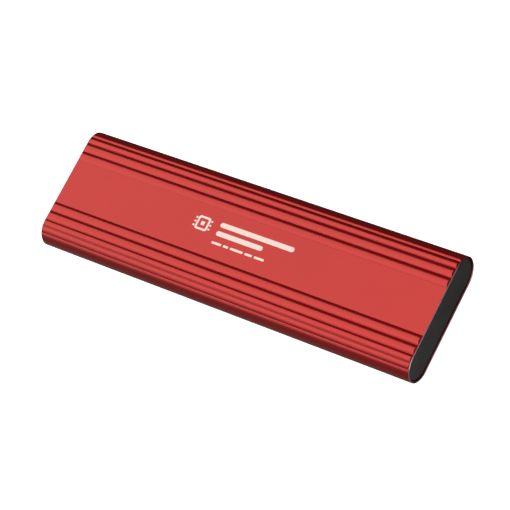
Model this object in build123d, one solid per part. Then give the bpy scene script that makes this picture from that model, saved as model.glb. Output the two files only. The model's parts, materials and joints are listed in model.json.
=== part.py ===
from build123d import *
import math
import os

# Portable solid state drive: a fluted aluminium tube closed by two plastic caps.
# The port cap, the carrier tray and the circuit boards form a core that slides
# out of the tube. Millimetres. +X runs from the port end to the plain end, +Z up.
# The origin is the middle of the footprint, at the height of the lowest ridges.

# ---- driving dimensions -------------------------------------------------
body_length = 99.0
rim_width = 29.3
rim_height = 8.36
# valleys between ridges, as distances along the outline from its middle
valleys = [5.6, 7.9, 10.15, 11.95, 13.4, 14.5]
# height of the ridge between each valley and the next
ridge_heights = [0.32, 0.32, 0.28, 0.22, 0.12]
wall = 0.9
end_bevel = 1.0
edge_break = 0.14
bore_break = 0.06
slide_gap = 0.12
# each end of the bore opens out to a wider, shallow seat for a cap's flange
lip_wall = 0.42
seat_depth = 1.5
seat_rest = 0.02

cap_recess = 0.35
cap_depth = 3.5
cap_edge = 0.15
rear_cap_face = 1.4
rear_cap_skirt = 1.3

board_thickness = 0.8
bridge_length = 21.4
bridge_width = 22.4
ssd_length = 80.0
ssd_width = 22.0

port_width = 8.94
port_height = 3.26
port_wall = 0.3
port_length = 7.35
port_front_gap = 0.2
port_clearance = 0.3
port_lead_in = 0.4

# lugs on the port cap that reach under the bridge board
lug_rear_x = -39.9
lug_y = (7.9, 11.1)
lug_hole_radius = 0.85
tray_hole_radius = 0.75
boss_radius = 1.5

# ---- derived places -----------------------------------------------------
middle_z = rim_height / 2 + ridge_heights[0]
half_length = body_length / 2
bore_width = rim_width - 2 * wall
bore_height = rim_height - 2 * wall
seat_width = rim_width - 2 * lip_wall
seat_height = rim_height - 2 * lip_wall
plug_width = bore_width - 2 * slide_gap
plug_height = bore_height - 2 * slide_gap
cap_face_x = half_length - cap_recess
cap_back_x = cap_face_x - cap_depth

floor_bottom = middle_z - plug_height / 2
floor_top = floor_bottom + 0.66
bridge_bottom = floor_top + 0.5
bridge_top = bridge_bottom + board_thickness
bridge_front_x = -cap_back_x + 0.25
bridge_rear_x = bridge_front_x + bridge_length
ssd_bottom = bridge_top + 1.1
ssd_top = ssd_bottom + board_thickness
ssd_front_x = -36.9
ssd_rear_x = ssd_front_x + ssd_length
chip_top = ssd_top + 1.2
socket_front_x = ssd_front_x - 3.5
socket_rear_x = ssd_front_x + 2.9

tray_wall_y = bridge_width / 2 + 0.15
tray_ledge_y = ssd_width / 2 - 0.7
tray_rear_x = cap_back_x - 0.3

screw_spots = [(x, y) for x in (-42.0, -26.8) for y in (-9.6, 9.6)]
standoff_spot = (ssd_rear_x, 0.0)
led_y = 7.6
light_pipe_radius = 0.75
light_pipe_length = cap_depth + 0.1


def section_plane(x):
    """Plane across the tube at x: its own x runs along Y and its own y along Z."""
    return Plane(origin=(x, 0, middle_z), x_dir=(0, 1, 0), z_dir=(1, 0, 0))


def stadium(x, width, height):
    """Slot shape with round sides, standing across the tube at x."""
    return section_plane(x) * SlotOverall(width, height)


def stadium_bar(x_low, x_high, width, height):
    return extrude(stadium(x_low, width, height), x_high - x_low)


def tapered_bar(x_low, x_high, size_low, size_high):
    """Slot-shaped bar whose width and height change from one end to the other."""
    low = stadium(x_low, *size_low).faces()[0]
    high = stadium(x_high, *size_high).faces()[0]
    return loft([low, high], ruled=True)


def block(x_low, x_high, y_low, y_high, z_low, z_high):
    size = (x_high - x_low, y_high - y_low, z_high - z_low)
    centre = ((x_low + x_high) / 2, (y_low + y_high) / 2, (z_low + z_high) / 2)
    return Pos(*centre) * Box(*size)


def block_at(x, y, z_low, size):
    """Block of the given size standing on height z_low, centred on (x, y)."""
    return Pos(x, y, z_low + size[2] / 2) * Box(*size)


def post(x, y, z_low, z_high, radius):
    return Pos(x, y, (z_low + z_high) / 2) * Cylinder(radius, z_high - z_low)


def chip_at(x, y, z_low, size):
    """Moulded chip package: a block with a small chamfer round its top."""
    body = block_at(x, y, z_low, size)
    top_edges = body.edges().group_by(Axis.Z)[-1]
    return chamfer(top_edges, 0.12)


# ---- outer tube ---------------------------------------------------------
def outline_point(distance, outset):
    """Point on the smooth outline's upper right quarter, pushed outwards by outset.

    distance is measured along the outline from its middle: first along the flat,
    then round the side, whose radius is half the height.
    """
    radius = rim_height / 2
    flat_half = rim_width / 2 - radius
    if distance <= flat_half:
        return (distance, radius + outset)
    angle = (distance - flat_half) / radius
    reach = radius + outset
    return (flat_half + reach * math.sin(angle), reach * math.cos(angle))


def ridge_arcs(side, up):
    """Convex arcs from valley to valley in the quarter given by side and up."""
    arcs = []
    for start, end, height in zip(valleys, valleys[1:], ridge_heights):
        points = [
            outline_point(start, 0),
            outline_point((start + end) / 2, height),
            outline_point(end, 0),
        ]
        arcs.append(ThreePointArc(*[(side * y, up * z) for y, z in points]))
    return arcs


def ridged_section(x):
    """Tube's outer outline: a flat strip, ridges beside it and smooth round sides."""
    edges = []
    flat_end = valleys[0]
    last_y, last_z = outline_point(valleys[-1], 0)
    for up in (1, -1):
        level = up * rim_height / 2
        edges.append(Line((-flat_end, level), (flat_end, level)))
        for side in (1, -1):
            edges += ridge_arcs(side, up)
    for side in (1, -1):
        nose = (side * rim_width / 2, 0)
        edges.append(ThreePointArc((side * last_y, last_z), nose, (side * last_y, -last_z)))
    return section_plane(x) * Face(Wire(edges))


def make_sleeve():
    """Fluted tube; its ends are bevelled to the smooth outline below the ridges."""
    rim = (rim_width - 2 * edge_break, rim_height - 2 * edge_break)
    grown = (rim[0] + 2 * end_bevel, rim[1] + 2 * end_bevel)
    inner_x = half_length - end_bevel
    envelope = stadium_bar(-inner_x, inner_x, *grown)
    envelope += tapered_bar(-half_length, -inner_x, rim, grown)
    envelope += tapered_bar(inner_x, half_length, grown, rim)
    prism = extrude(ridged_section(-half_length), body_length, dir=(1, 0, 0))
    tube = prism & envelope

    seat = (seat_width, seat_height)
    mouth = (seat_width + 2 * bore_break, seat_height + 2 * bore_break)
    mouth_x = half_length - bore_break
    seat_x = half_length - seat_depth
    tube -= stadium_bar(-half_length - 1, half_length + 1, bore_width, bore_height)
    tube -= stadium_bar(-half_length - 1, -seat_x, *seat)
    tube -= stadium_bar(seat_x, half_length + 1, *seat)
    tube -= tapered_bar(-half_length, -mouth_x, mouth, seat)
    tube -= tapered_bar(mouth_x, half_length, seat, mouth)
    return tube


# ---- caps ---------------------------------------------------------------
def plug_blank():
    """Cap for the +X end: a plug that fits the bore behind a flange that fits the seat."""
    full = (seat_width - 2 * slide_gap, seat_height - 2 * slide_gap)
    small = (full[0] - 2 * cap_edge, full[1] - 2 * cap_edge)
    shoulder_x = cap_face_x - cap_edge
    flange_x = half_length - seat_depth + seat_rest
    cap = stadium_bar(cap_back_x, shoulder_x, plug_width, plug_height)
    cap += stadium_bar(flange_x, shoulder_x, *full)
    return cap + tapered_bar(shoulder_x, cap_face_x, full, small)


def make_rear_cap():
    """Plain cap: a solid face with a hollow skirt behind it."""
    cap = plug_blank()
    hollow = (plug_width - 2 * rear_cap_skirt, plug_height - 2 * rear_cap_skirt)
    return cap - stadium_bar(cap_back_x - 1, cap_face_x - rear_cap_face, *hollow)


def make_port_cap():
    """Cap with the port opening, the light pipe hole and two lugs under the board."""
    cap = mirror(plug_blank(), Plane.YZ)
    lug = block(-cap_back_x - 0.5, lug_rear_x, *lug_y, floor_top + 0.02, bridge_bottom - 0.02)
    lug -= post(*screw_spots[1], floor_top - 1, bridge_bottom + 1, lug_hole_radius)
    cap += lug
    cap += mirror(lug, Plane.XZ)
    opening = (port_width + port_clearance, port_height + port_clearance)
    cap -= stadium_bar(-cap_face_x - 1, -cap_back_x + 1, *opening)
    mouth = (opening[0] + 2 * port_lead_in, opening[1] + 2 * port_lead_in)
    cap -= tapered_bar(-cap_face_x, -cap_face_x + port_lead_in, mouth, opening)
    pipe_hole = Rot(0, 90, 0) * Cylinder(light_pipe_radius + 0.03, cap_depth + 2)
    cap -= Pos(-cap_face_x + cap_depth / 2, led_y, middle_z) * pipe_hole
    return cap


# ---- carrier tray -------------------------------------------------------
def make_carrier_tray():
    """Shallow channel that follows the bore and holds both boards."""
    front_x = -cap_back_x + 0.02
    outer = stadium_bar(front_x, tray_rear_x, plug_width, plug_height)
    tray = outer - block(-60, 60, -20, 20, middle_z, 20)
    tray -= block(-60, bridge_rear_x + 0.3, -tray_wall_y, tray_wall_y, floor_top, 20)
    tray -= block(-60, 60, -tray_ledge_y, tray_ledge_y, floor_top, 20)
    board_side = ssd_width / 2 + 0.15
    tray -= block(-60, 60, -board_side, board_side, ssd_bottom, 20)
    for window_x in (-10.0, 9.0, 28.0):
        tray -= block(window_x - 7, window_x + 7, -7.5, 7.5, 0, floor_top + 0.1)
    for x, y in screw_spots:
        if x > -30:
            tray += post(x, y, floor_top, bridge_bottom, boss_radius)
        tray -= post(x, y, 0, bridge_bottom + 0.1, tray_hole_radius)
    x, y = standoff_spot
    tray -= post(x, y, 0, floor_top + 0.1, 1.3)
    return tray


def screw(x, y, z_seat, head_radius, head_height, shaft_radius, shaft_length):
    """Pan screw with its head on z_seat, its shaft below and a cross recess on top."""
    head = post(x, y, z_seat, z_seat + head_height, head_radius)
    head = chamfer(head.edges().group_by(Axis.Z)[-1], head_height * 0.35)
    recess_z = z_seat + head_height * 0.45
    for size in ((head_radius * 1.1, head_radius * 0.3), (head_radius * 0.3, head_radius * 1.1)):
        head -= block_at(x, y, recess_z, (*size, head_height))
    return head + post(x, y, z_seat - shaft_length, z_seat, shaft_radius)


def make_board_screws():
    return Compound([screw(x, y, bridge_top, 1.25, 0.55, 0.68, 1.9) for x, y in screw_spots])


def make_ssd_standoff():
    x, y = standoff_spot
    body = post(x, y, floor_top, ssd_bottom, 2.0)
    body += post(x, y, floor_bottom + 0.1, floor_top, 1.2)
    step = post(x, y, ssd_bottom, ssd_top - 0.05, 1.6)
    return body + step - post(x, y, floor_bottom + 0.5, ssd_top + 1, 0.95)


def make_ssd_screw():
    x, y = standoff_spot
    return screw(x, y, ssd_top, 2.1, 0.7, 0.88, 2.0)


# ---- port receptacle ----------------------------------------------------
port_front_x = -cap_face_x + port_front_gap
port_rear_x = port_front_x + port_length
port_inner = (port_width - 2 * port_wall, port_height - 2 * port_wall)
shell_leg_spots = [-44.6, -42.6]


def shell_leg(x):
    """Bent tab of the port shell that goes down through a slot in the board."""
    arm = block(x - 0.4, x + 0.4, port_width / 2 - 0.57, 5.6, bridge_top + 0.05, bridge_top + 0.3)
    drop = block(x - 0.4, x + 0.4, 5.35, 5.6, bridge_bottom - 0.2, bridge_top + 0.3)
    return arm + drop


def make_usb_shell():
    shell = stadium_bar(port_front_x, port_rear_x, port_width, port_height)
    shell -= stadium_bar(port_front_x - 1, port_rear_x + 1, *port_inner)
    for x in shell_leg_spots:
        leg = shell_leg(x)
        shell += leg
        shell += mirror(leg, Plane.XZ)
    return shell


def make_usb_tongue():
    """Insulator: a block that closes the shell's rear, and the thin contact tongue."""
    gap = 0.02
    block_front_x = port_rear_x - 2.1
    base = stadium_bar(block_front_x, port_rear_x, port_inner[0] - 2 * gap, port_inner[1] - 2 * gap)
    step = block(block_front_x - 0.8, block_front_x, -3.5, 3.5, middle_z - 0.62, middle_z + 0.62)
    tongue = block(port_front_x + 0.7, block_front_x, -3.34, 3.34, middle_z - 0.33, middle_z + 0.33)
    front_edges = tongue.edges().group_by(Axis.X)[0].filter_by(Axis.Y)
    return base + step + chamfer(front_edges, 0.15)


def make_usb_contacts():
    """Twelve flat contacts on each face of the tongue, and their solder tails."""
    contact_pitch = 0.5
    contacts = []
    for index in range(12):
        y = (index - 5.5) * contact_pitch
        for face in (1, -1):
            z = middle_z + face * 0.33
            low, high = sorted((z, z + face * 0.04))
            contacts.append(block(port_front_x + 1.1, port_front_x + 4.2, y - 0.12, y + 0.12, low, high))
        contacts.append(block(port_rear_x, port_rear_x + 0.6, y - 0.1, y + 0.1, bridge_top, bridge_top + 0.12))
    return Compound(contacts)


# ---- bridge board -------------------------------------------------------
def make_bridge_board():
    """Adapter board: the port sits in its front notch, screws hold it to the tray."""
    half = bridge_width / 2
    board = block(bridge_front_x, bridge_rear_x, -half, half, bridge_bottom, bridge_top)
    notch = port_width / 2 + 0.12
    board -= block(bridge_front_x - 1, port_rear_x + 0.1, -notch, notch, 0, 20)
    for x in shell_leg_spots:
        for side in (1, -1):
            board -= block_at(x, side * 5.475, 0, (1.0, 0.5, 20))
    for x, y in screw_spots:
        board -= post(x, y, 0, 20, 0.8)
    return board


def make_bridge_capacitors():
    """Small ceramic capacitors on the adapter board."""
    size = (1.0, 0.5, 0.5)
    spots = [(-44.2, 9.8), (-44.2, 8.9), (-44.2, -9.8), (-44.2, -8.9), (-44.2, -7.6)]
    spots += [(-32.6, -7.4), (-32.6, -6.5), (-24.6, -5.6), (-24.6, -4.7), (-24.6, -3.8), (-24.6, 6.9)]
    return Compound([block_at(x, y, bridge_top, size) for x, y in spots])


def make_socket_housing():
    """Card-edge socket: a bar with a slot that takes the drive board's front edge."""
    half = 10.95
    slot_gap = 0.06
    slot_half = ssd_width / 2 - 1.0
    step_x = socket_front_x + 1.6
    housing = block(socket_front_x, socket_rear_x, -half, half, bridge_top, bridge_top + 2.75)
    housing -= block(ssd_front_x - 0.2, 0, -slot_half, slot_half, ssd_bottom - slot_gap, ssd_top + slot_gap)
    return housing - block(-60, step_x, -half - 1, half + 1, bridge_top + 2.1, 20)


def socket_pitches():
    """Positions across the socket that carry a contact; a gap is left for the key."""
    key_y = 6.6
    pitch = 0.5
    places = [(index - 19) * pitch for index in range(39)]
    return [y for y in places if abs(y - key_y) > 1.1]


def make_socket_contacts():
    """Solder tails along the back of the socket."""
    tails = []
    for y in socket_pitches():
        low_x = socket_front_x - 0.5
        tails.append(block(low_x, socket_front_x, y - 0.1, y + 0.1, bridge_top, bridge_top + 0.12))
    return Compound(tails)


# ---- drive board --------------------------------------------------------
def make_ssd_board():
    """Drive board: edge connector with its key notch in front, screw notch at the rear."""
    half = ssd_width / 2
    tab_half = half - 1.1
    board = block(ssd_front_x, ssd_rear_x, -tab_half, tab_half, ssd_bottom, ssd_top)
    board += block(socket_rear_x + 0.2, ssd_rear_x, -half, half, ssd_bottom, ssd_top)
    board -= block(ssd_front_x - 1, ssd_front_x + 3.2, 6.1, 7.1, 0, 20)
    x, y = standoff_spot
    return board - post(x, y, 0, 20, 1.75)


def make_ssd_edge_contacts():
    """Gold fingers on the upper face of the drive board's front edge."""
    fingers = []
    for y in socket_pitches():
        low_x = ssd_front_x + 0.2
        fingers.append(block(low_x, socket_rear_x, y - 0.17, y + 0.17, ssd_top, ssd_top + 0.03))
    return Compound(fingers)


def make_flash_packages():
    return Compound([chip_at(x, 0, ssd_top, (12.0, 18.0, 1.2)) for x in (7.5, 23.5)])


def make_ssd_inductors():
    return Compound([chip_at(-31.2, y, ssd_top, (2.5, 2.0, 1.1)) for y in (-4.0, -1.4, 1.2)])


def make_ssd_capacitors():
    """Ceramic capacitors round the controller and storage capacitors near the rear."""
    size = (1.0, 0.5, 0.5)
    spots = [(-28.6, y) for y in (3.2, 4.2, 5.2, 6.2)]
    spots += [(-14.1, y) for y in (-8.6, -7.7, 7.7, 8.6)]
    spots += [(-1.0, y) for y in (-9.4, 9.4)]
    spots += [(15.5, y) for y in (-6.0, -3.0, 0.0, 3.0, 6.0)]
    solids = [block_at(x, y, ssd_top, size) for x, y in spots]
    solids += [block_at(34.5, y, ssd_top, (3.5, 2.8, 1.4)) for y in (-7.0, -3.2, 3.2, 7.0)]
    return Compound(solids)


# ---- heat path and film -------------------------------------------------
def make_insulating_film():
    film_bottom = bridge_top + 0.85
    return block(-33.2, bridge_rear_x + 0.4, -9.6, 9.6, film_bottom, film_bottom + 0.1)


def make_thermal_pad():
    return block(-27.5, 31.0, -9.2, 9.2, chip_top, chip_top + 0.6)


def make_heat_spreader():
    """Thin plate on the pad, just below the roof of the bore."""
    spreader_top = middle_z + plug_height / 2 - 0.03
    return block(-28.5, 32.5, -9.9, 9.9, chip_top + 0.6, spreader_top)


def make_light_pipe():
    rod = Rot(0, 90, 0) * Cylinder(light_pipe_radius, light_pipe_length)
    return Pos(-cap_face_x + light_pipe_length / 2 - 0.05, led_y, middle_z) * rod


nodes = {
    "sleeve": make_sleeve(),
    "rear_cap": make_rear_cap(),
    "port_cap": make_port_cap(),
    "light_pipe": make_light_pipe(),
    "carrier_tray": make_carrier_tray(),
    "bridge_board": make_bridge_board(),
    "board_screws": make_board_screws(),
    "usb_shell": make_usb_shell(),
    "usb_tongue": make_usb_tongue(),
    "usb_contacts": make_usb_contacts(),
    "status_led": block_at(-44.85, led_y, bridge_top, (0.9, 1.6, 1.3)),
    "bridge_controller": chip_at(-28.6, -1.5, bridge_top, (6.5, 6.5, 0.85)),
    "bridge_memory_chip": chip_at(-28.6, 5.0, bridge_top, (4.0, 3.0, 0.75)),
    "bridge_crystal": block_at(-31.6, 8.4, bridge_top, (2.5, 2.0, 0.6)),
    "bridge_inductor": chip_at(-29.2, -7.6, bridge_top, (2.5, 2.5, 0.8)),
    "bridge_capacitors": make_bridge_capacitors(),
    "socket_housing": make_socket_housing(),
    "socket_contacts": make_socket_contacts(),
    "insulating_film": make_insulating_film(),
    "ssd_board": make_ssd_board(),
    "ssd_edge_contacts": make_ssd_edge_contacts(),
    "ssd_controller": chip_at(-21.0, 0, ssd_top, (12.0, 12.0, 1.2)),
    "memory_package": chip_at(-7.6, 0, ssd_top, (8.0, 12.0, 1.2)),
    "flash_packages": make_flash_packages(),
    "power_chip": chip_at(-31.2, -7.6, ssd_top, (4.0, 4.0, 0.8)),
    "ssd_inductors": make_ssd_inductors(),
    "ssd_capacitors": make_ssd_capacitors(),
    "ssd_standoff": make_ssd_standoff(),
    "ssd_screw": make_ssd_screw(),
    "thermal_pad": make_thermal_pad(),
    "heat_spreader": make_heat_spreader(),
}

os.makedirs("parts", exist_ok=True)
for name, shape in nodes.items():
    export_step(shape, f"parts/{name}.step")
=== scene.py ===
import bpy
import bmesh
import json
import math
from mathutils import Matrix, Vector


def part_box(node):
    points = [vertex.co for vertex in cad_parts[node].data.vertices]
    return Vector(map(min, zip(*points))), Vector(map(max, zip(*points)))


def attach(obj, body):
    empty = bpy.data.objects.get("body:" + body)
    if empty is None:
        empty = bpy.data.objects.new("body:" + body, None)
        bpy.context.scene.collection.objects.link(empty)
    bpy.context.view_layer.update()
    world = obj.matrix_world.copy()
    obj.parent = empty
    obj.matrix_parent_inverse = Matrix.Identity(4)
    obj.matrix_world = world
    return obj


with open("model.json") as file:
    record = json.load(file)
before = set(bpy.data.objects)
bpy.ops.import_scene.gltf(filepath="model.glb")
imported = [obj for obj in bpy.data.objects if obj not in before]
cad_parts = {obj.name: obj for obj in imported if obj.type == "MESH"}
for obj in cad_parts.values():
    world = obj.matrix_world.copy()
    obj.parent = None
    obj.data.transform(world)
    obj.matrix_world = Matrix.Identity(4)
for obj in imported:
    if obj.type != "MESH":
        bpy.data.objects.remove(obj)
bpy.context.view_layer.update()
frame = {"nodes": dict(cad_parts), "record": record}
nodes = frame["nodes"]
scene = bpy.context.scene
MM = 0.001
WHITE = (1.0, 1.0, 1.0, 1.0)

# ---- sizes of the tube that the looks depend on ----------------------------
sleeve_low, sleeve_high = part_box("sleeve")
body_length = sleeve_high.x - sleeve_low.x
ridge_height = 0.32 * MM
strip_z = sleeve_high.z - ridge_height
bright_edge = 0.13 * MM


# ---- small helpers ---------------------------------------------------------
def link(obj):
    scene.collection.objects.link(obj)
    return obj


def mesh_object(name, bm, material):
    """Turns a bmesh into a linked object, and frees the bmesh."""
    mesh = bpy.data.meshes.new(name)
    bm.to_mesh(mesh)
    bm.free()
    mesh.materials.append(material)
    return link(bpy.data.objects.new(name, mesh))


def tinted(colour, factor):
    return tuple(min(1.0, channel * factor) for channel in colour)


class ShaderTree:
    """Short way to add and join the shader nodes of a material or a world."""

    MIX_FIRST, MIX_SECOND, MIX_RESULT = 6, 7, 2  # the colour sockets of a Mix node
    END_FACE = 0.9  # a face whose normal has more than this along X closes an end

    def __init__(self, owner):
        owner.use_nodes = True
        self.owner = owner
        self.tree = owner.node_tree

    @property
    def shader(self):
        """A material's Principled BSDF."""
        return self.tree.nodes["Principled BSDF"]

    def add(self, kind, **settings):
        node = self.tree.nodes.new("ShaderNode" + kind)
        for key, value in settings.items():
            setattr(node, key, value)
        return node

    def join(self, source, target):
        self.tree.links.new(source, target)

    def place(self):
        """Position on the object in metres."""
        return self.add("TexCoord").outputs["Object"]

    def stretched(self, scale):
        """Position with each axis scaled on its own, for a grain that runs one way."""
        node = self.add("Mapping")
        node.inputs["Scale"].default_value = scale
        self.join(self.place(), node.inputs["Vector"])
        return node.outputs["Vector"]

    def part(self, vector, axis):
        """One axis of a vector."""
        node = self.add("SeparateXYZ")
        self.join(vector, node.inputs["Vector"])
        return node.outputs[axis]

    def noise(self, scale, detail=4.0, roughness=0.55, vector=None):
        """Cloudy values round 0.5, with about scale features in a metre."""
        node = self.add("TexNoise")
        node.inputs["Scale"].default_value = scale
        node.inputs["Detail"].default_value = detail
        node.inputs["Roughness"].default_value = roughness
        self.join(vector or self.place(), node.inputs["Vector"])
        return node.outputs["Fac"]

    def spread(self, value, low, high, start=0.0, end=1.0):
        """Maps start..end to low..high, and holds the limits outside it."""
        node = self.add("MapRange")
        node.inputs["From Min"].default_value = start
        node.inputs["From Max"].default_value = end
        node.inputs["To Min"].default_value = low
        node.inputs["To Max"].default_value = high
        self.join(value, node.inputs["Value"])
        return node.outputs["Result"]

    def ramp(self, value, first_colour, last_colour, start=0.3, end=0.7):
        """Fades between two colours. A noise has most of its values in the default range."""
        node = self.add("ValToRGB")
        stops = ((start, first_colour), (end, last_colour))
        for element, (position, colour) in zip(node.color_ramp.elements, stops):
            element.position = position
            element.color = (*colour, 1.0)
        self.join(value, node.inputs["Fac"])
        return node.outputs["Color"]

    def tones(self, value, colour, low, high):
        """One colour, from low times as bright to high times as bright."""
        return self.ramp(value, tinted(colour, low), tinted(colour, high))

    def blend(self, factor, source, colour):
        """Mixes a colour socket with a fixed colour."""
        node = self.add("Mix", data_type="RGBA")
        self.join(factor, node.inputs["Factor"])
        self.join(source, node.inputs[self.MIX_FIRST])
        node.inputs[self.MIX_SECOND].default_value = (*colour, 1.0)
        return node.outputs[self.MIX_RESULT]

    def bump(self, height, strength, distance, normal=None):
        node = self.add("Bump")
        node.inputs["Strength"].default_value = strength
        node.inputs["Distance"].default_value = distance
        self.join(height, node.inputs["Height"])
        if normal:
            self.join(normal, node.inputs["Normal"])
        return node.outputs["Normal"]

    def maths(self, operation, first, second=0.0):
        """second is a number or a socket."""
        node = self.add("Math", operation=operation)
        self.join(first, node.inputs[0])
        if isinstance(second, float):
            node.inputs[1].default_value = second
        else:
            self.join(second, node.inputs[1])
        return node.outputs[0]

    def end_edge(self, edge_x):
        """1 on slanted faces farther out along X than edge_x, 0 elsewhere."""
        reach = self.maths("ABSOLUTE", self.part(self.place(), "X"))
        normal = self.add("TexCoord").outputs["Normal"]
        facing = self.maths("ABSOLUTE", self.part(normal, "X"))
        outside = self.maths("GREATER_THAN", reach, edge_x)
        slanted = self.maths("LESS_THAN", facing, self.END_FACE)
        return self.maths("MULTIPLY", outside, slanted)

    def set(self, **values):
        """Fixed values on a material's own sockets."""
        for key, value in values.items():
            self.shader.inputs[key.replace("_", " ")].default_value = value

    def drive(self, socket, source):
        """A material's own socket from another node."""
        self.join(source, self.shader.inputs[socket])


def new_material(name):
    return ShaderTree(bpy.data.materials.new(name))


# ---- materials -------------------------------------------------------------
def anodised_red():
    """Satin dyed anodising under a clear oxide skin, with the edges of both ends cut bright."""
    n = new_material("anodised_red")
    red = (0.44, 0.003, 0.002)
    bare = (0.75, 0.68, 0.66)
    patch = n.noise(scale=35.0, detail=3.0)
    edge = n.end_edge(body_length / 2 - bright_edge)
    n.drive("Base Color", n.blend(edge, n.tones(patch, red, 0.95, 1.05), bare))
    n.drive("Metallic", n.spread(edge, 0.66, 1.0))
    n.drive("Roughness", n.spread(patch, 0.27, 0.33))
    n.set(Coat_Weight=0.65, Coat_Roughness=0.1, Coat_IOR=1.5)
    along_tube = n.stretched((150.0, 9000.0, 9000.0))
    drawn = n.noise(scale=1.0, detail=3.0, roughness=0.6, vector=along_tube)
    grain = n.noise(scale=9000.0, detail=2.0, roughness=0.6)
    drawn_normal = n.bump(drawn, strength=0.08, distance=0.04 * MM)
    n.drive("Normal", n.bump(grain, strength=0.12, distance=0.01 * MM, normal=drawn_normal))
    return n.owner


def moulded_plastic(name, colour, roughness):
    """Fine spark-eroded texture of a moulded plastic part."""
    n = new_material(name)
    cloud = n.noise(scale=120.0, detail=3.0)
    n.drive("Base Color", n.tones(cloud, colour, 0.88, 1.12))
    n.set(Metallic=0.0, IOR=1.48)
    n.drive("Roughness", n.spread(cloud, roughness - 0.05, roughness + 0.05))
    grain = n.noise(scale=5000.0, detail=3.0, roughness=0.7)
    n.drive("Normal", n.bump(grain, strength=0.35, distance=0.02 * MM))
    return n.owner


def plain_metal(name, colour, roughness, brush=(4000.0, 300.0, 4000.0)):
    """Plated or rolled metal with a faint grain along the axis where brush is smallest."""
    n = new_material(name)
    streak = n.noise(scale=1.0, roughness=0.6, vector=n.stretched(brush))
    n.drive("Base Color", n.tones(streak, colour, 0.9, 1.06))
    n.set(Metallic=1.0)
    n.drive("Roughness", n.spread(streak, roughness - 0.06, roughness + 0.08))
    n.drive("Normal", n.bump(streak, strength=0.12, distance=0.01 * MM))
    return n.owner


def circuit_board():
    """Dark green solder mask over faint copper tracks."""
    n = new_material("circuit_board")
    mask = (0.006, 0.05, 0.026)
    track = (0.02, 0.11, 0.05)
    tracks = n.add("TexBrick")
    looks = {
        "Scale": 260.0,
        "Mortar Size": 0.012,
        "Brick Width": 0.9,
        "Row Height": 0.16,
        "Color1": (*track, 1.0),
        "Color2": (*tinted(mask, 1.6), 1.0),
        "Mortar": (*mask, 1.0),
    }
    for socket, value in looks.items():
        tracks.inputs[socket].default_value = value
    n.join(n.place(), tracks.inputs["Vector"])
    n.drive("Base Color", tracks.outputs["Color"])
    n.set(Metallic=0.0, Coat_Weight=0.6, Coat_Roughness=0.12)
    n.drive("Roughness", n.spread(n.noise(scale=600.0), 0.3, 0.42))
    n.drive("Normal", n.bump(tracks.outputs["Fac"], strength=0.3, distance=0.02 * MM))
    return n.owner


def chip_moulding():
    """Matte black mould compound with a fine speckle."""
    n = new_material("chip_moulding")
    compound = (0.012, 0.012, 0.013)
    filler = (0.04, 0.04, 0.042)
    speckle = n.noise(scale=9000.0, detail=2.0, roughness=0.8)
    n.drive("Base Color", n.ramp(speckle, compound, filler, start=0.35, end=0.75))
    n.set(Metallic=0.0, IOR=1.5)
    n.drive("Roughness", n.spread(speckle, 0.45, 0.62))
    n.drive("Normal", n.bump(speckle, strength=0.3, distance=0.01 * MM))
    return n.owner


def capacitor_ceramic():
    """Brown ceramic body. The tinned ends are a piece of their own."""
    n = new_material("capacitor_ceramic")
    cloud = n.noise(scale=2500.0, detail=2.0)
    n.drive("Base Color", n.ramp(cloud, (0.2, 0.12, 0.06), (0.34, 0.22, 0.12)))
    n.set(Metallic=0.0, Coat_Weight=0.3, Coat_Roughness=0.2)
    n.drive("Roughness", n.spread(cloud, 0.35, 0.5))
    n.drive("Normal", n.bump(cloud, strength=0.2, distance=0.01 * MM))
    return n.owner


def clear_plastic():
    """Water-clear rod, slightly frosted by its mould."""
    n = new_material("clear_plastic")
    cloud = n.noise(scale=800.0)
    n.drive("Base Color", n.ramp(cloud, (0.84, 0.88, 0.9), (0.92, 0.95, 0.97)))
    n.set(Transmission_Weight=0.75, IOR=1.49)
    n.drive("Roughness", n.spread(cloud, 0.18, 0.3))
    n.drive("Normal", n.bump(cloud, strength=0.1, distance=0.01 * MM))
    return n.owner


def glossy_resin(name, colour, roughness, transmission=0.0):
    """Smooth cast resin or film."""
    n = new_material(name)
    cloud = n.noise(scale=700.0)
    n.drive("Base Color", n.tones(cloud, colour, 0.9, 1.1))
    n.set(Transmission_Weight=transmission, Coat_Weight=0.5, Coat_Roughness=0.1)
    n.drive("Roughness", n.spread(cloud, roughness - 0.04, roughness + 0.06))
    n.drive("Normal", n.bump(cloud, strength=0.08, distance=0.02 * MM))
    return n.owner


def silicone_pad():
    """Soft gap filler: dusty, slightly uneven."""
    n = new_material("silicone_pad")
    cloud = n.noise(scale=900.0, detail=5.0, roughness=0.65)
    n.drive("Base Color", n.ramp(cloud, (0.2, 0.25, 0.3), (0.28, 0.33, 0.38)))
    n.set(Sheen_Weight=0.2)
    n.drive("Roughness", n.spread(cloud, 0.7, 0.88))
    n.drive("Normal", n.bump(cloud, strength=0.5, distance=0.05 * MM))
    return n.owner


def etched_mark_material():
    """Bare laser-marked oxide: pale, dull and slightly pink."""
    n = new_material("etched_mark")
    cloud = n.noise(scale=2500.0, detail=3.0)
    n.drive("Base Color", n.ramp(cloud, (0.9, 0.71, 0.69), (0.96, 0.79, 0.77)))
    n.set(Metallic=0.4)
    n.drive("Roughness", n.spread(cloud, 0.42, 0.52))
    n.drive("Normal", n.bump(cloud, strength=0.2, distance=0.01 * MM))
    return n.owner


def printed_ink():
    """Off-white board ink with slightly worn cover."""
    n = new_material("printed_ink")
    wear = n.noise(scale=4000.0, detail=3.0, roughness=0.7)
    n.drive("Base Color", n.ramp(wear, (0.55, 0.57, 0.54), (0.78, 0.79, 0.76)))
    n.drive("Roughness", n.spread(wear, 0.55, 0.7))
    n.drive("Normal", n.bump(wear, strength=0.15, distance=0.01 * MM))
    return n.owner


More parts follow.
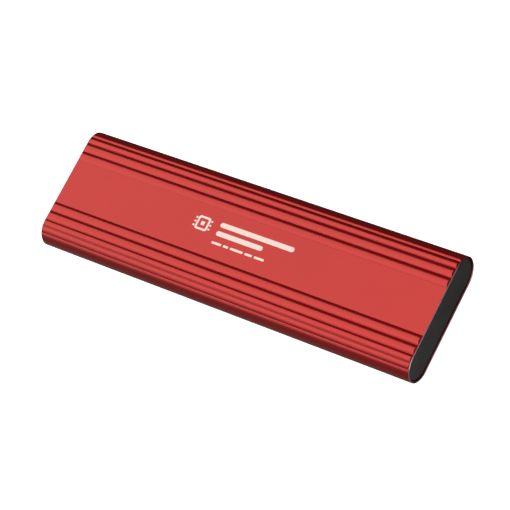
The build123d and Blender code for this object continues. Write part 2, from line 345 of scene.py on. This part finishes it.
slot_materials = {
    "anodised_red": anodised_red(),
    "cap_plastic": moulded_plastic("cap_plastic", (0.11, 0.11, 0.113), roughness=0.6),
    "clear_plastic": clear_plastic(),
    "tray_plastic": moulded_plastic("tray_plastic", (0.03, 0.03, 0.032), roughness=0.55),
    "circuit_board": circuit_board(),
    "zinc_steel": plain_metal("zinc_steel", (0.62, 0.62, 0.61), roughness=0.28),
    "insulator_plastic": moulded_plastic(
        "insulator_plastic", (0.014, 0.014, 0.015), roughness=0.42),
    "gold_contact": plain_metal("gold_contact", (0.88, 0.62, 0.22), roughness=0.2),
    "tinned_contact": plain_metal("tinned_contact", (0.72, 0.72, 0.7), roughness=0.3),
    "led_resin": glossy_resin("led_resin", (0.8, 0.76, 0.5), roughness=0.25),
    "chip_moulding": chip_moulding(),
    "capacitor_ceramic": capacitor_ceramic(),
    "amber_film": glossy_resin(
        "amber_film", (0.72, 0.3, 0.04), roughness=0.16, transmission=0.35),
    "brass": plain_metal("brass", (0.8, 0.57, 0.24), roughness=0.26),
    "silicone_pad": silicone_pad(),
    "spreader_aluminium": plain_metal(
        "spreader_aluminium", (0.78, 0.79, 0.8), roughness=0.32, brush=(200.0, 6000.0, 6000.0)),
}

# each CAD node takes the material of its slot in the record
for subpart in frame["record"]["subparts"]:
    node_materials = nodes[subpart["node"]].data.materials
    node_materials.clear()
    node_materials.append(slot_materials[subpart["material_slot"]])


# ---- flat shapes -----------------------------------------------------------
def rounded_outline(x, y, width, height, radius, steps=6):
    """Corner points of a rounded rectangle, anticlockwise."""
    points = []
    for index, (sx, sy) in enumerate(((1, 1), (-1, 1), (-1, -1), (1, -1))):
        corner_x = x + sx * (width / 2 - radius)
        corner_y = y + sy * (height / 2 - radius)
        for step in range(steps + 1):
            angle = math.pi / 2 * (index + step / steps)
            across, up = radius * math.cos(angle), radius * math.sin(angle)
            points.append((corner_x + across, corner_y + up))
    return points


def add_plate(bm, outline, low_z, high_z):
    """Closed plate with the given outline."""
    bottom = [bm.verts.new((x, y, low_z)) for x, y in outline]
    top = [bm.verts.new((x, y, high_z)) for x, y in outline]
    bm.faces.new(reversed(bottom))
    bm.faces.new(top)
    count = len(outline)
    for index in range(count):
        after = (index + 1) % count
        bm.faces.new((bottom[index], bottom[after], top[after], top[index]))


def add_frame(bm, outer, inner, low_z, high_z):
    """Closed plate with a hole. Both outlines have the same number of points."""
    outer_low, inner_low, outer_high, inner_high = [
        [bm.verts.new((x, y, z)) for x, y in ring]
        for z in (low_z, high_z)
        for ring in (outer, inner)
    ]
    count = len(outer)
    for index in range(count):
        after = (index + 1) % count
        bm.faces.new((outer_high[index], outer_high[after], inner_high[after], inner_high[index]))
        bm.faces.new((outer_low[after], outer_low[index], inner_low[index], inner_low[after]))
        bm.faces.new((outer_low[index], outer_low[after], outer_high[after], outer_high[index]))
        bm.faces.new((inner_low[after], inner_low[index], inner_high[index], inner_high[after]))


# ---- etched mark: a plain storage pictogram, no lettering ------------------
def build_mark():
    """Chip outline, two bars and a row of dashes, as a film on the flat strip."""
    low_z = strip_z - 0.01 * MM
    high_z = strip_z + 0.012 * MM
    middle_y = 1.25 * MM

    chip_x, chip_size, chip_corner = -10.9 * MM, 3.3 * MM, 0.6 * MM
    chip_line = 0.5 * MM
    window_size, window_corner = chip_size - 2 * chip_line, 0.25 * MM
    die_size, die_corner = 0.95 * MM, 0.15 * MM

    pin_length, pin_width, pin_corner = 0.55 * MM, 0.4 * MM, 0.12 * MM
    pin_pitch = 0.95 * MM
    pin_gap = 0.12 * MM
    pin_reach = chip_size / 2 + pin_length / 2 + pin_gap

    bars_left = -6.6 * MM
    upper_bar, lower_bar = 19.6 * MM, 12.4 * MM
    bar_width, bar_corner = 1.15 * MM, 0.55 * MM
    bar_offset = 1.05 * MM

    dashes_y = -2.1 * MM
    dashes = (2.6 * MM, 1.4 * MM, 3.4 * MM, 2.0 * MM, 2.6 * MM)
    dash_width, dash_corner, dash_gap = 0.55 * MM, 0.2 * MM, 0.5 * MM

    bm = bmesh.new()

    def add_shape(x, y, width, height, corner):
        add_plate(bm, rounded_outline(x, y, width, height, corner), low_z, high_z)

    outer = rounded_outline(chip_x, middle_y, chip_size, chip_size, chip_corner)
    window = rounded_outline(chip_x, middle_y, window_size, window_size, window_corner)
    add_frame(bm, outer, window, low_z, high_z)
    add_shape(chip_x, middle_y, die_size, die_size, die_corner)
    for row in (-1, 0, 1):
        for side in (-1, 1):
            pin_x, pin_y = chip_x + side * pin_reach, middle_y + row * pin_pitch
            add_shape(pin_x, pin_y, pin_length, pin_width, pin_corner)
    for side, length in ((1, upper_bar), (-1, lower_bar)):
        bar_y = middle_y + side * bar_offset
        add_shape(bars_left + length / 2, bar_y, length, bar_width, bar_corner)
    dash_left = bars_left
    for length in dashes:
        add_shape(dash_left + length / 2, dashes_y, length, dash_width, dash_corner)
        dash_left += length + dash_gap
    return mesh_object("etched_mark", bm, etched_mark_material())


mark = build_mark()
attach(mark, "housing")


# ---- small details on the boards -------------------------------------------
def island_boxes(obj):
    """Low and high corner of each separate solid in an object."""
    bm = bmesh.new()
    bm.from_mesh(obj.data)
    bm.transform(obj.matrix_world)
    left = set(bm.verts)
    boxes = []
    while left:
        group = [left.pop()]
        for vert in group:
            for edge in vert.link_edges:
                other = edge.other_vert(vert)
                if other in left:
                    left.remove(other)
                    group.append(other)
        corners = [[vert.co[axis] for vert in group] for axis in range(3)]
        boxes.append(([min(values) for values in corners], [max(values) for values in corners]))
    bm.free()
    return sorted(boxes)


def add_block(bm, low, high):
    outline = [(low[0], low[1]), (high[0], low[1]), (high[0], high[1]), (low[0], high[1])]
    add_plate(bm, outline, low[2], high[2])


def build_terminals(name, node_names):
    """Tinned ends wrapped round each ceramic capacitor, thin enough to stay clear of all else."""
    bm = bmesh.new()
    wrap = 0.015 * MM
    end_share = 0.22
    for node_name in node_names:
        for low, high in island_boxes(nodes[node_name]):
            length = (high[0] - low[0]) * end_share
            low_y, high_y = low[1] - wrap, high[1] + wrap
            low_z, high_z = low[2] + wrap, high[2] + wrap
            add_block(bm, (low[0] - wrap, low_y, low_z), (low[0] + length, high_y, high_z))
            add_block(bm, (high[0] - length, low_y, low_z), (high[0] + wrap, high_y, high_z))
    return mesh_object(name, bm, slot_materials["tinned_contact"])


def build_outlines(name, node_names):
    """Printed outline on the board round each part."""
    bm = bmesh.new()
    clearance, line, lift = 0.25 * MM, 0.13 * MM, 0.012 * MM
    corner_steps = 2
    for node_name in node_names:
        for low, high in island_boxes(nodes[node_name]):
            x, y = (low[0] + high[0]) / 2, (low[1] + high[1]) / 2
            width = high[0] - low[0] + 2 * clearance
            depth = high[1] - low[1] + 2 * clearance
            inner = rounded_outline(x, y, width, depth, line, corner_steps)
            outer = rounded_outline(
                x, y, width + 2 * line, depth + 2 * line, 2 * line, corner_steps)
            add_frame(bm, outer, inner, low[2] - lift, low[2] + lift)
    return mesh_object(name, bm, printed_ink())


def build_pin_dots(name, node_names):
    """Small pale dot near one corner of each chip's top."""
    bm = bmesh.new()
    inset, size, lift = 0.75 * MM, 0.45 * MM, 0.008 * MM
    for node_name in node_names:
        low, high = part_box(node_name)
        dot = rounded_outline(low.x + inset, high.y - inset, size, size, size / 2)
        add_plate(bm, dot, high.z - lift, high.z + lift)
    return mesh_object(name, bm, printed_ink())


def ride_on_core(piece):
    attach(piece, "core")


capacitors = ["bridge_capacitors", "ssd_capacitors"]
bridge_parts = ["bridge_controller", "bridge_memory_chip", "bridge_crystal", "bridge_inductor"]
drive_parts = [
    "ssd_controller", "memory_package", "power_chip", "ssd_inductors", "flash_packages"]
dotted_chips = ["bridge_controller", "bridge_memory_chip", "power_chip"]
ride_on_core(build_terminals("capacitor_terminals", capacitors))
ride_on_core(build_outlines("board_print", bridge_parts + drive_parts))
ride_on_core(build_pin_dots("pin_dots", dotted_chips))


# ---- floor, light and camera -----------------------------------------------
def build_floor():
    """Floor that camera rays see white. Other rays see a grey one, with a painted shadow that
    makes it darker on the far side.
    """
    half = 8.0
    fade = 12 * MM
    near_grey, far_shadow_grey = (0.2, 0.2, 0.2), (0.04, 0.04, 0.04)
    seen_grey = (0.95, 0.95, 0.95, 1.0)

    bm = bmesh.new()
    corners = [(-half, -half), (half, -half), (half, half), (-half, half)]
    bm.faces.new([bm.verts.new((x, y, 0.0)) for x, y in corners])

    n = new_material("floor")
    # painted shadow: the floor colour that other rays see fades from a lit grey on the near side
    # to a dark grey behind the drive
    near_to_far = n.spread(n.part(n.place(), "Y"), 0.0, 1.0, start=-fade, end=fade)
    n.drive("Base Color", n.ramp(near_to_far, near_grey, far_shadow_grey, start=0.0, end=1.0))
    n.set(Roughness=0.9, Specular_IOR_Level=0.0)

    glow = n.add("Emission")
    glow.inputs["Color"].default_value = WHITE
    glow.inputs["Strength"].default_value = 1.0
    pale = n.add("BsdfDiffuse")
    pale.inputs["Color"].default_value = seen_grey
    seen = n.add("AddShader")
    n.join(glow.outputs["Emission"], seen.inputs[0])
    n.join(pale.outputs["BSDF"], seen.inputs[1])

    choose = n.add("MixShader")
    n.join(n.add("LightPath").outputs["Is Camera Ray"], choose.inputs["Fac"])
    n.join(n.shader.outputs["BSDF"], choose.inputs[1])
    n.join(seen.outputs["Shader"], choose.inputs[2])
    n.join(choose.outputs["Shader"], n.tree.nodes["Material Output"].inputs["Surface"])
    return mesh_object("floor", bm, n.owner)


build_floor()


def softbox(name, direction, distance, across, along, radiance, colour=WHITE[:3]):
    """Rectangular light facing the object. across is its size along Y, or as near as it can."""
    light = bpy.data.lights.new(name, "AREA")
    light.shape = "RECTANGLE"
    light.size = across
    light.size_y = along
    light.energy = radiance * math.pi * across * along
    light.color = colour
    facing = Vector(direction).normalized()
    side = (Vector((0, 1, 0)) - facing * facing.y).normalized()
    upward = facing.cross(side)
    turn = Matrix((side, upward, facing)).transposed().to_4x4()
    obj = link(bpy.data.objects.new(name, light))
    obj.matrix_world = Matrix.Translation(facing * distance) @ turn


# The tube's faces all run along X, so from the camera they mirror only directions that have
# this X. The key light stands there above the flat strip. Feather and front follow it down
# the near side, each dimmer, so that the ridges fade, and the far side stays dark.
mirror_x = -0.512
softbox("key_light", direction=(mirror_x, 0.007, 0.858), distance=0.8,
        across=1.0, along=1.1, radiance=1.6, colour=(1.0, 0.97, 0.87))
softbox("feather_light", direction=(mirror_x, -0.68, 0.525), distance=0.8,
        across=0.38, along=1.1, radiance=0.6)
softbox("front_light", direction=(mirror_x, -0.85, 0.12), distance=0.8,
        across=0.3, along=1.1, radiance=0.3)
# The end light shows the plain cap. The rear light is mirrored toward the port end's side,
# where the tube would be dark without it.
softbox("end_light", direction=(0.95, -0.15, 0.22), distance=0.8,
        across=0.7, along=0.35, radiance=0.5)
softbox("rear_light", direction=(0.55, -0.3, 0.79), distance=0.9,
        across=0.8, along=0.8, radiance=0.6)


def build_world():
    """Dim studio, lighter on the near side than behind the drive."""
    near_strength, far_strength = 0.25, 0.05
    near_end, far_end = -0.2, 0.1
    n = ShaderTree(bpy.data.worlds.new("studio"))
    toward_far = n.part(n.add("TexCoord").outputs["Generated"], "Y")
    background = n.tree.nodes["Background"]
    background.inputs["Color"].default_value = WHITE
    strength = n.spread(toward_far, near_strength, far_strength, start=near_end, end=far_end)
    n.join(strength, background.inputs["Strength"])
    return n.owner


scene.world = build_world()
scene.view_settings.view_transform = "Standard"


def build_camera():
    """Long lens above the plain end, turned so that the drive lies along the diagonal.

    Its place and lens were fitted to the drive's outline in the photo.
    """
    azimuth = math.radians(66.40)
    elevation = math.radians(56.01)
    roll = math.radians(-42.48)
    distance = 4.5064 * body_length
    shift_right = 0.0002 * body_length
    shift_up = 0.0072 * body_length

    level = math.cos(elevation)
    back = Vector((math.sin(azimuth) * level, -math.cos(azimuth) * level, math.sin(elevation)))
    flat_right = Vector((0, 0, 1)).cross(back).normalized()
    flat_up = back.cross(flat_right)
    right = flat_right * math.cos(roll) + flat_up * math.sin(roll)
    up = flat_up * math.cos(roll) - flat_right * math.sin(roll)
    target = right * shift_right + up * shift_up + Vector((0, 0, ridge_height))

    data = bpy.data.cameras.new("camera")
    data.lens = 143.32
    data.sensor_width = 36.0
    data.clip_start = 0.01
    data.clip_end = 30.0
    camera = link(bpy.data.objects.new("camera", data))
    turn = Matrix((right, up, back)).transposed().to_4x4()
    camera.matrix_world = Matrix.Translation(back * distance + target) @ turn
    scene.camera = camera


build_camera()
